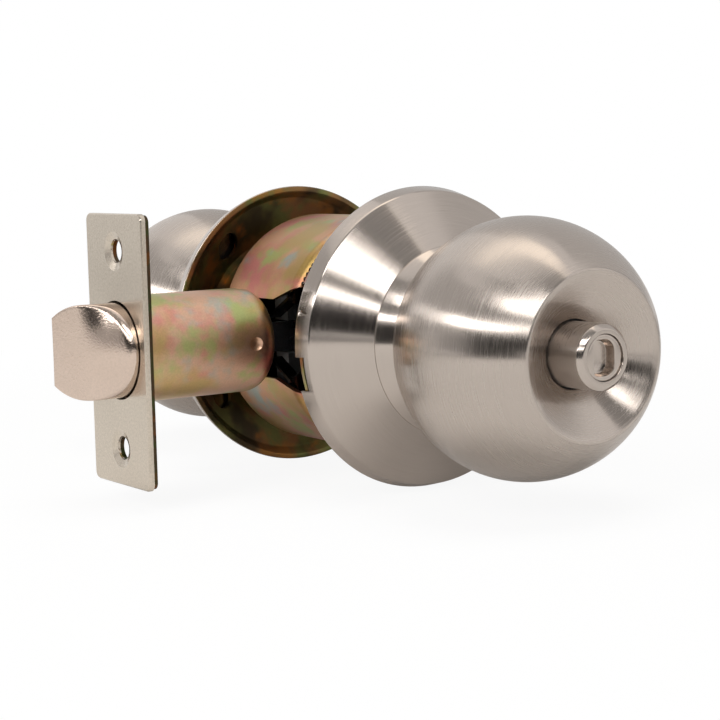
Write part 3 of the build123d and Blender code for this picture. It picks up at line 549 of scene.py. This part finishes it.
insideRose = turnOutline("rose_inside", inside, roseOutline(lock["insideFace"]), segments=192)
notchLow = (-notch["outer"], -lock["insideFace"] - notch["depth"], -notch["width"] / 2)
notchHigh = (-notch["floor"], -lock["insideFace"] + notch["past"], notch["width"] / 2)
notchBox = blockMesh("notch", notchLow, notchHigh)
notchBox.data.transform(Matrix.Rotation(math.radians(notch["angle"]), 4, "Y"))
cutAway(insideRose, notchBox)
for angle, along in punch["places"]:  # punch marks that hold the rose on its plate
    turn = math.radians(angle)
    reach = lock["roseR"] + punch["off"]
    mark = ballMesh("punch", punch["ballR"])
    spot = Vector((-reach * math.cos(turn), -along, reach * math.sin(turn)))
    mark.data.transform(Matrix.Translation(spot * mm))
    cutAway(insideRose, mark)
fitPiece(insideRose, roseStainless, "chassis_body", "satin_stainless", "inside_rose")
outsideCone = roseOutline(lock["outsideFace"], liner["roseLift"])
outsideRose = turnOutline("rose_outside", outside, outsideCone, segments=192)
fitPiece(outsideRose, roseStainless, "chassis_body", "satin_stainless", "outside_rose")
# the liner takes the thick film with its painted shade
fitPiece(makeLiner("liner_pressed", lock["outsideFace"]), thickShadedChromate, "chassis_body", "yellow_chromate",
         "outside_rose_liner")
print("roses spun")


# latch bolt: a round bar with a flat back and a flat bevel, which is crowned towards the faceplate
bolt = {"radius": 10.0, "tip": -71.5, "rear": -46.9, "back": 7.0, "backEnd": -60.4, "flatSide": -3.4,
        "flatLength": 5.75, "foot": -61.5, "footSide": -10.2, "edge": 0.3, "roll": 1.0,
        "rollStart": 0.35, "rollRun": 1.1, "crown": 2.2, "crownStart": 1.5, "crownRun": 6.5}


def easeIn(share):
    # smooth step from 0 to 1
    share = min(max(share, 0), 1)
    return share * share * (3 - 2 * share)


def bevelDepth(y):
    start = Vector((bolt["tip"], bolt["back"]))
    end = Vector((bolt["tip"] + bolt["flatLength"], bolt["flatSide"]))
    if y > end.y:
        return bolt["tip"] + (start.y - y) * (end.x - start.x) / (start.y - end.y)
    lean = (end - start).normalized()
    across = Vector((-lean.y, lean.x))
    chord = Vector((bolt["foot"], bolt["footSide"])) - end
    radius = chord.length_squared / (2 * chord.dot(across))
    middle = end + across * radius
    return middle.x - math.sqrt(radius ** 2 - (y - middle.y) ** 2)


def crownDrop(y, z):
    # the bevel falls away to both sides of its foot
    return bolt["crown"] * (z / bolt["radius"]) ** 2 * easeIn((bolt["crownStart"] - y) / bolt["crownRun"])


def makeBolt(name, columns=144, rows=24, edgeSteps=8):
    corner = math.acos(bolt["back"] / bolt["radius"])
    turns = sorted([-math.pi + 2 * math.pi * i / columns for i in range(columns)] + [-corner, corner])
    count = len(turns)

    def rim(turn):
        if math.cos(turn) <= 0:
            return bolt["radius"]
        return min(bolt["radius"], bolt["back"] / max(math.cos(turn), 1e-6))

    def edge(turn):
        share = easeIn((bolt["rollStart"] - math.cos(turn)) / bolt["rollRun"])
        return bolt["edge"] + (bolt["roll"] - bolt["edge"]) * share

    points = []
    for row in range(rows + 1):
        for turn in turns:
            far = (rim(turn) - edge(turn)) * row / rows
            y, z = far * math.cos(turn), far * math.sin(turn)
            points.append((bevelDepth(y) + crownDrop(y, z), y, z))
    for step in range(1, edgeSteps + 1):
        tilt = step / edgeSteps * math.pi / 2
        for turn in turns:
            far = rim(turn) - edge(turn) * (1 - math.sin(tilt))
            y, z = far * math.cos(turn), far * math.sin(turn)
            points.append((bevelDepth(y) + crownDrop(y, z) + edge(turn) * (1 - math.cos(tilt)), y, z))
    for along, reach in ((bolt["backEnd"], rim), (bolt["backEnd"], None), (bolt["rear"], None)):
        for turn in turns:
            far = reach(turn) if reach else bolt["radius"]
            points.append((max(along, points[-count][0]), far * math.cos(turn), far * math.sin(turn)))
    faces = gridFaces(rows + edgeSteps + 4, count, True)
    last = (rows + edgeSteps + 3) * count
    faces.append(tuple(range(last, last + count)))
    return buildMesh(name, points, faces, sharpAngle=40)


boltPiece = makeBolt("latch_bolt_bevelled")
fitPiece(boltPiece, boltNickel, "latch_body", "nickel_plate", "latch_bolt")
print("bolt shaped")


# push button with a polished rim, and the turn piece in its end
button = {"bottom": 64.12, "flangeR": 7.3, "flange": 1.5, "bore": 2.7, "turnDepth": 5.0, "rim": 0.95,
          "rimRound": 0.5, "turnGap": 0.1, "seatRound": 0.12, "sideLean": 0.1}
buttonEnd = lock["buttonEnd"]
flangeTop = button["bottom"] + button["flange"]
seatR, seatFloor = lock["turnR"] + button["turnGap"], buttonEnd - button["turnDepth"]
buttonPiece = turnOutline("push_button_turned", inside, softOutline([
    (button["bore"], button["bottom"]), (button["flangeR"], button["bottom"]), (button["flangeR"], flangeTop),
    (lock["buttonR"], flangeTop), (lock["buttonR"], buttonEnd - button["rim"], button["rimRound"]),
    (lock["buttonR"] - button["rim"], buttonEnd, button["rimRound"]), (seatR, buttonEnd, button["seatRound"]),
    (seatR, seatFloor), (button["bore"], seatFloor)]), segments=96)
fitPiece(buttonPiece, polishedSteel, "button_body", "satin_stainless", "push_button")
buttonPiece.data.materials.append(turnedSteel)  # its side keeps the marks of the lathe
for face in buttonPiece.data.polygons:
    face.material_index = 1 if abs(face.normal.y) < button["sideLean"] else 0

turnSlot = {"width": 5.0, "height": 6.9, "flatCorner": 1.0, "roundCorner": 2.4, "depth": 2.2, "setback": 0.3}


def slotReach(angle):
    # distance from the middle to the slot's outline in a direction
    w, h = turnSlot["width"] / 2, turnSlot["height"] / 2
    ring = softOutline([(-w, -h, turnSlot["flatCorner"]), (w, -h, turnSlot["roundCorner"]),
                        (w, h, turnSlot["roundCorner"]), (-w, h, turnSlot["flatCorner"])], 8)
    aim = Vector((math.cos(angle), math.sin(angle)))
    best = 0
    for i, point in enumerate(ring):
        a = Vector(point)
        edge = Vector(ring[(i + 1) % len(ring)]) - a
        cross = aim.x * edge.y - aim.y * edge.x
        if abs(cross) < 1e-9:
            continue
        far = (a.x * edge.y - a.y * edge.x) / cross
        share = (a.x * aim.y - a.y * aim.x) / cross
        if far > 0 and -1e-6 <= share <= 1 + 1e-6:
            best = max(best, far)
    return best


def makeTurnPiece(name, columns=120):
    top = buttonEnd - turnSlot["setback"]
    floor = top - turnSlot["depth"]
    low = seatFloor + button["turnGap"]
    outer = lock["turnR"]
    # rings from the back to the slot's floor: kind, reach past the middle or past the slot's outline, along
    rows = [("circle", 0.0, low), ("circle", outer, low), ("circle", outer, top - 0.25),
            ("circle", outer - 0.07, top - 0.07), ("circle", outer - 0.25, top), ("slot", 0.28, top),
            ("slot", 0.1, top - 0.06), ("slot", 0.0, top - 0.28), ("slot", -0.15, floor + 0.3),
            ("slot", -0.3, floor + 0.08), ("slot", -0.6, floor), ("circle", 0.0, floor)]
    points = []
    for kind, reach, along in rows:
        for column in range(columns):
            angle = 2 * math.pi * column / columns
            far = reach + (slotReach(angle) if kind == "slot" else 0)
            points.append((far * math.cos(angle), -along, far * math.sin(angle)))
    return buildMesh(name, points, gridFaces(len(rows), columns, True), sharpAngle=40)


turnPiece = makeTurnPiece("turn_piece_slotted")
fitPiece(turnPiece, polishedSteel, "turn_body", "satin_stainless", "turn_piece")
print("button made")


# lock ring: knurled on its edge, so that it bites when it is turned home
knurl = {"outer": 25.2, "depth": 0.4, "teeth": 132, "inner": 16.35, "front": 12.5, "back": 14.0,
         "windowLow": (-30.0, -15.0, -12.0), "windowHigh": (-20.8, -12.0, 12.0)}  # cut away at the latch
ringPoints = []
for along in (knurl["front"], knurl["back"]):
    for tooth in range(knurl["teeth"] * 3):
        angle = 2 * math.pi * tooth / (knurl["teeth"] * 3)
        reach = knurl["outer"] - (0 if tooth % 3 < 2 else knurl["depth"])
        ringPoints.append((reach * math.cos(angle), -along, reach * math.sin(angle)))
        ringPoints.append((knurl["inner"] * math.cos(angle), -along, knurl["inner"] * math.sin(angle)))
ringCount = knurl["teeth"] * 6
ringFaces = []
for i in range(0, ringCount, 2):
    j = (i + 2) % ringCount
    ringFaces += [(i, j, j + 1, i + 1), (ringCount + i, ringCount + i + 1, ringCount + j + 1, ringCount + j),
                  (i, ringCount + i, ringCount + j, j), (i + 1, j + 1, ringCount + j + 1, ringCount + i + 1)]
knurledRing = buildMesh("lock_ring_knurled", ringPoints, ringFaces, sharpAngle=25)
cutAway(knurledRing, blockMesh("window", knurl["windowLow"], knurl["windowHigh"]))
fitPiece(knurledRing, blackSteel, "chassis_body", "black_steel", "lock_ring")


# outside hub: end plate and a neck with a rolled thread
hub = {"plateR": 24.75, "plateStart": 11.3, "plateEnd": 14.8, "bore": 10.4, "threadR": 15.0, "end": 35.84,
       "pitch": 1.5, "threadDepth": 0.55, "chamfer": 0.3, "runIn": 0.5, "endChamfer": 0.5}


def makeHub(name, columns=96, stepsPerPitch=8):
    rows = [(hub["bore"], hub["plateStart"], 0), (hub["plateR"], hub["plateStart"], 0),
            (hub["plateR"], hub["plateEnd"] - hub["chamfer"], 0),
            (hub["plateR"] - hub["chamfer"], hub["plateEnd"], 0), (hub["threadR"], hub["plateEnd"], 0)]
    threadLength = hub["end"] - hub["plateEnd"] - 2 * hub["runIn"]
    steps = int(threadLength / hub["pitch"] * stepsPerPitch)
    for step in range(steps + 1):
        along = hub["plateEnd"] + hub["runIn"] + step * hub["pitch"] / stepsPerPitch
        rows.append((hub["threadR"], along, 0 if step in (0, steps) else 1))
    rows += [(hub["threadR"] - hub["endChamfer"], hub["end"], 0), (hub["bore"], hub["end"], 0)]
    points = []
    for radius, along, cut in rows:
        for column in range(columns):
            angle = 2 * math.pi * column / columns
            wave = 0.5 - 0.5 * math.cos(2 * math.pi * along / hub["pitch"] - angle)
            reach = radius - cut * hub["threadDepth"] * wave
            points.append((reach * math.cos(angle), along, reach * math.sin(angle)))
    faces = gridFaces(len(rows), columns, True)
    last = (len(rows) - 1) * columns
    faces += [(last + i, last + (i + 1) % columns, (i + 1) % columns, i) for i in range(columns)]
    return buildMesh(name, points, faces, sharpAngle=40)


fitPiece(makeHub("outside_hub_threaded"), yellowChromate, "chassis_body", "yellow_chromate", "outside_hub")
print("ring and hub made")


# springs: each coil is copied from its solid, in spring steel, riding on its body
# body, joint, way it closes, seat, share left
springs = {"latch_spring": ("chassis_body", "latch_slide", (1, 0, 0), (-34.2, 0, 0), 0.09),
           "retractor_springs": ("chassis_body", "retractor_slide", (1, 0, 0), (22.2, 0, 0), 0.346),
           "button_spring": ("inside_knob_body", "button_push", (0, 1, 0), (0, -54.5, 0), 0.584)}
for name, (body, joint, way, seat, left) in springs.items():
    coil = bpy.data.objects.new(name + "_coiled", nodes[name].data.copy())
    coil.matrix_world = nodes[name].matrix_world
    scene.collection.objects.link(coil)
    fitPiece(coil, springSteel, body, "spring_steel", name)
    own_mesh(coil)
print("springs coiled")


# camera at the photo's angle; place and aim in mm, roll in degrees
photoView = {"place": (-232.857, -345.87, 39.18), "aim": (0.0, -1.684, -6.86), "roll": -1.4054,
             "lens": 92.2132, "sensor": 36.0}
lens = bpy.data.cameras.new("photo_lens")
lens.sensor_width = photoView["sensor"]
lens.lens = photoView["lens"]
lens.clip_start, lens.clip_end = 0.01, 20
camera = bpy.data.objects.new("photo_camera", lens)
sight = Vector(photoView["aim"]) - Vector(photoView["place"])
facing = sight.to_track_quat("-Z", "Y").to_matrix().to_4x4()
roll = Matrix.Rotation(math.radians(photoView["roll"]), 4, "Z")
camera.matrix_world = Matrix.Translation(Vector(photoView["place"]) * mm) @ facing @ roll
scene.collection.objects.link(camera)
scene.camera = camera

# studio: pale floor and soft lamps; sizes of the floor and its shadow in mm
studio = {"floorDrop": 33.0, "floorHalf": 3000.0, "floorColour": "#f4f3f1", "fill": 0.34, "floorSeen": 0.92,
          "floorGloss": 0.12, "shadowNear": 90.0, "shadowFar": 320.0}
world = bpy.data.worlds.new("studio_air")
scene.world = world
world.use_nodes = True
air = world.node_tree
air.nodes.clear()
airRay = addNode(air, "ShaderNodeLightPath")
airSeen = addNode(air, "ShaderNodeMath", {"operation": "MAXIMUM"},
                  {0: airRay.outputs["Is Camera Ray"], 1: airRay.outputs["Is Glossy Ray"]})
airShown = addNode(air, "ShaderNodeMath", {"operation": "MAXIMUM"},
                   {0: airSeen.outputs[0], 1: airRay.outputs["Is Transmission Ray"]})
airLevel = addNode(air, "ShaderNodeMapRange", {},
                   {"Value": airShown.outputs[0], "To Min": studio["fill"], "To Max": 1.0})
airGlow = addNode(air, "ShaderNodeBackground", {}, {"Color": (1, 1, 1, 1), "Strength": airLevel.outputs[0]})
addNode(air, "ShaderNodeOutputWorld", {}, {"Surface": airGlow.outputs[0]})

floorMesh = bpy.data.meshes.new("studio_floor")
half, drop = studio["floorHalf"] * mm, studio["floorDrop"] * mm
corners = ((-half, -half, -drop), (half, -half, -drop), (half, half, -drop), (-half, half, -drop))
floorMesh.from_pydata(corners, [], [(0, 1, 2, 3)])
floor = bpy.data.objects.new("studio_floor", floorMesh)
scene.collection.objects.link(floor)
floorLook, floorTree = newMaterial("floor_painted_white")
floorRay = addNode(floorTree, "ShaderNodeLightPath")
floorPlace = addNode(floorTree, "ShaderNodeTexCoord")
floorFar = addNode(floorTree, "ShaderNodeVectorMath", {"operation": "LENGTH"},
                   {0: floorPlace.outputs["Object"]})
floorFade = addNode(floorTree, "ShaderNodeMapRange", {"interpolation_type": "SMOOTHSTEP"},
                    {"Value": floorFar.outputs["Value"], "From Min": studio["shadowNear"] * mm,
                     "From Max": studio["shadowFar"] * mm, "To Min": studio["floorSeen"], "To Max": 1.0})
floorBright = addNode(floorTree, "ShaderNodeMath", {"operation": "MULTIPLY"},
                      {0: floorRay.outputs["Is Camera Ray"], 1: floorFade.outputs[0]})
floorGloss = addNode(floorTree, "ShaderNodeMath", {"operation": "MULTIPLY"},
                     {0: floorRay.outputs["Is Glossy Ray"], 1: studio["floorGloss"]})
floorSeen = addNode(floorTree, "ShaderNodeMath", {"operation": "MAXIMUM"},
                    {0: floorBright.outputs[0], 1: floorGloss.outputs[0]})
floorShare = addNode(floorTree, "ShaderNodeMath", {"operation": "MAXIMUM"},
                     {0: floorSeen.outputs[0], 1: floorRay.outputs["Is Transmission Ray"]})
floorPaint = addNode(floorTree, "ShaderNodeBsdfDiffuse", {}, {"Color": toLinear(studio["floorColour"])})
floorGlow = addNode(floorTree, "ShaderNodeEmission", {}, {"Color": (1, 1, 1, 1), "Strength": 1.0})
floorMix = addNode(floorTree, "ShaderNodeMixShader", {},
                   {0: floorShare.outputs[0], 1: floorPaint.outputs[0], 2: floorGlow.outputs[0]})
addNode(floorTree, "ShaderNodeOutputMaterial", {}, {"Surface": floorMix.outputs[0]})
floorMesh.materials.append(floorLook)


# soft lamps: place and side in metres, power in watts; the metal shows the panels and not the lamps
lampAim = (0, -0.03, 0)
lamps = {"side_light": {"place": (-0.80, -0.36, 0.60), "side": 0.5, "power": 4.8},
         "top_light": {"place": (0.05, -0.10, 1.00), "side": 0.6, "power": 5.6}}


def softLamp(name, place, side, power):
    lamp = bpy.data.lights.new(name, "AREA")
    lamp.shape = "RECTANGLE"
    lamp.size = lamp.size_y = side
    lamp.energy = power
    made = bpy.data.objects.new(name, lamp)
    made.location = place
    made.rotation_mode = "QUATERNION"
    made.rotation_quaternion = (Vector(lampAim) - Vector(place)).to_track_quat("-Z", "Y")
    made.visible_camera = made.visible_glossy = False
    scene.collection.objects.link(made)


# curved cloths and softboxes round the table, which show in the metal and nowhere else
# turns in degrees from the front (-Y) towards the left (-X); low and high edges in degrees up from the table,
# each at both ends of the turn; level of light; reach in metres
panels = {
    "front_dark": {"turns": (-20, 40), "lows": (3, 3), "highs": (18, 18), "level": 0.02},
    "corner_dark": {"turns": (40, 88), "lows": (-3, -3), "highs": (16, 16), "level": 0.04},
    "side_dark": {"turns": (88, 120), "lows": (1, 2), "highs": (14, 12), "level": 0.5},
    "rear_dark": {"turns": (120, 165), "lows": (-2, -2), "highs": (12, 8), "level": 0.85},
    "grey_wall": {"turns": (-25, 92), "lows": (17, 15), "highs": (67, 62), "level": 0.36, "reach": 1.1},
    "side_wall": {"turns": (92, 165), "lows": (13, 8), "highs": (50, 46), "level": 0.62, "reach": 1.1},
    "strip_softbox": {"turns": (24, 112), "lows": (20.8, 20), "highs": (24.3, 27), "level": 6.0},
    "strip_end": {"turns": (112, 160), "lows": (20, 14), "highs": (27, 20), "level": 1.7},
    "front_softbox": {"turns": (0, 60), "lows": (31.5, 36), "highs": (44.5, 46), "level": 6.5},
    "right_wall": {"turns": (-65, -160), "lows": (5, 5), "highs": (62, 62), "level": 0.7, "reach": 1.1},
    "top_softbox": {"turns": (-25, -100), "lows": (64, 74), "highs": (90, 90), "level": 2.1,
                    "colour": "#fff9f0"},
    "rear_softbox": {"turns": (-100, -232), "lows": (74, 60), "highs": (90, 90), "level": 2.1,
                     "colour": "#fff9f0"},
}
panelForward = 0.05  # the panels stand round a point in front of the lock, in metres


def studioPanel(name, turns, lows, highs, level, colour="#ffffff", reach=1.0, steps=24, rows=8):
    points = []
    for step in range(steps + 1):
        share = step / steps
        turn = math.radians(turns[0] + (turns[1] - turns[0]) * share)
        low = lows[0] + (lows[1] - lows[0]) * share
        high = highs[0] + (highs[1] - highs[0]) * share
        for row in range(rows + 1):
            rise = math.radians(low + (high - low) * row / rows)
            flat = reach * math.cos(rise)
            points.append((-flat * math.sin(turn), -flat * math.cos(turn) - panelForward,
                           reach * math.sin(rise)))
    cloth = bpy.data.meshes.new(name)
    cloth.from_pydata(points, [], gridFaces(steps + 1, rows + 1, False))
    look, tree = newMaterial(name + "_cloth")
    glow = addNode(tree, "ShaderNodeEmission", {}, {"Color": toLinear(colour), "Strength": level})
    addNode(tree, "ShaderNodeOutputMaterial", {}, {"Surface": glow.outputs[0]})
    cloth.materials.append(look)
    made = bpy.data.objects.new(name, cloth)
    made.visible_camera = made.visible_diffuse = made.visible_shadow = False
    scene.collection.objects.link(made)


for name, lamp in lamps.items():
    softLamp(name, **lamp)
for name, panel in panels.items():
    studioPanel(name, **panel)
scene.view_settings.view_transform = "Standard"
print("studio set")
